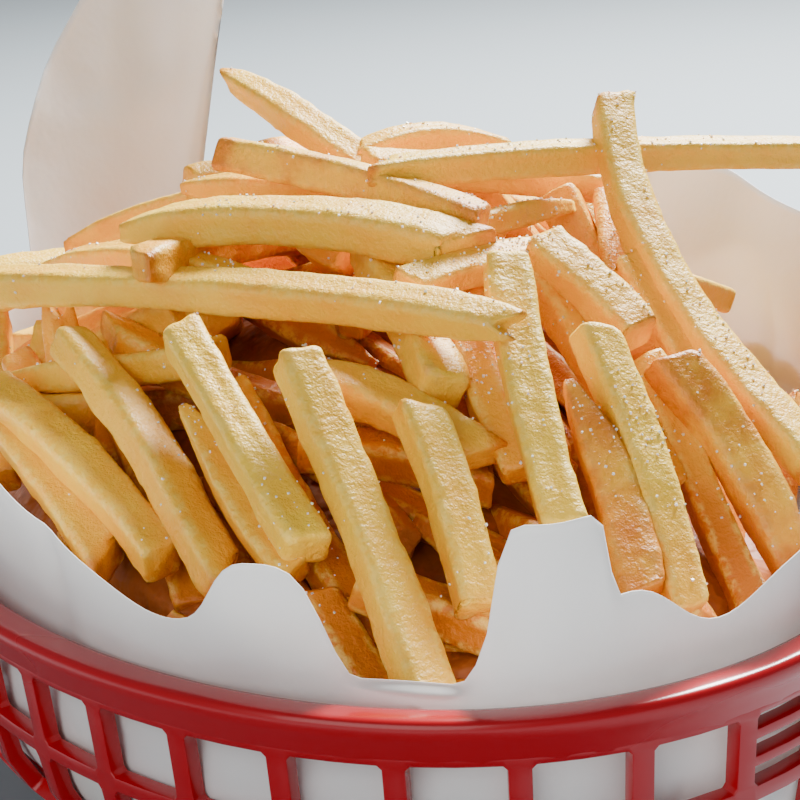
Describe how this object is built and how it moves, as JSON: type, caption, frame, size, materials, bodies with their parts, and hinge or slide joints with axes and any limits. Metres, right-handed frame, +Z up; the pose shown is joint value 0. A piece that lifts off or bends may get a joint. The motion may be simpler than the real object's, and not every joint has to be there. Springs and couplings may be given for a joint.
{
  "type": "french fries portion",
  "caption": "Portion of french fries heaped in an oval openwork plastic basket lined with a loose paper sheet.",
  "frame": {"origin": "middle of the basket's flat underside", "axes": "+Z up, +Y along the basket's long axis, away from the end the fries lean towards, +X to the right of that"},
  "size_m": [0.152, 0.2338, 0.1121],
  "materials": {
    "basket": "glossy red moulded plastic",
    "paper_liner": "thin plain white greaseproof paper",
    "fries_heap": "crisp golden fried potato with grains of salt"
  },
  "bodies": {
    "root": {"basket": "basket", "paper_liner": "paper_liner", "fries_heap": "fries_heap"}
  },
  "joints": []
}
